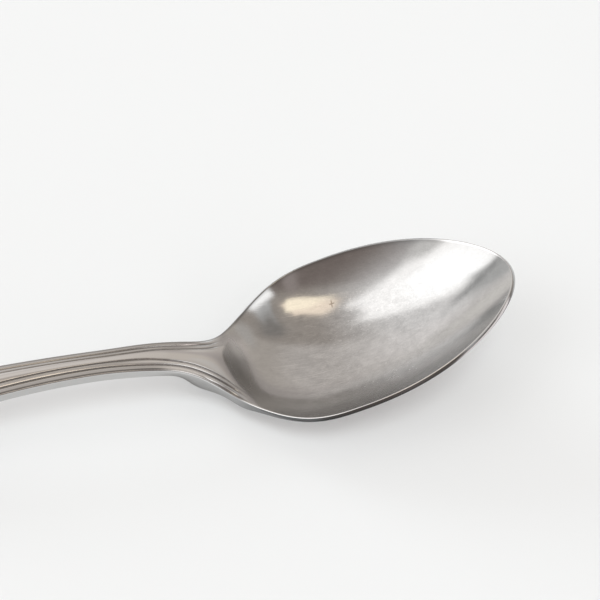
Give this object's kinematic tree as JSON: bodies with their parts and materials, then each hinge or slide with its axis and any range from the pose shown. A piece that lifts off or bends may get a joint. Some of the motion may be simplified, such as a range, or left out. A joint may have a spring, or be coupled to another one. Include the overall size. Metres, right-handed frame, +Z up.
{
  "type": "tablespoon",
  "caption": "Steel tablespoon with an egg-shaped hollow bowl and an arched, thread-edged handle widening to a rounded end, for scooping and serving food.",
  "frame": {"origin": "on the table under the middle of the spoon's length and width", "axes": "+X along the spoon towards the bowl's tip, +Y across it, +Z up out of the bowl"},
  "size_m": [0.205, 0.0442, 0.024],
  "materials": {
    "steel": "worn satin steel, with fine scratches along the bowl, brighter where the rim and the threads are rubbed, and darker in the grooves"
  },
  "bodies": {
    "root": {"spoon": "steel"}
  },
  "joints": []
}
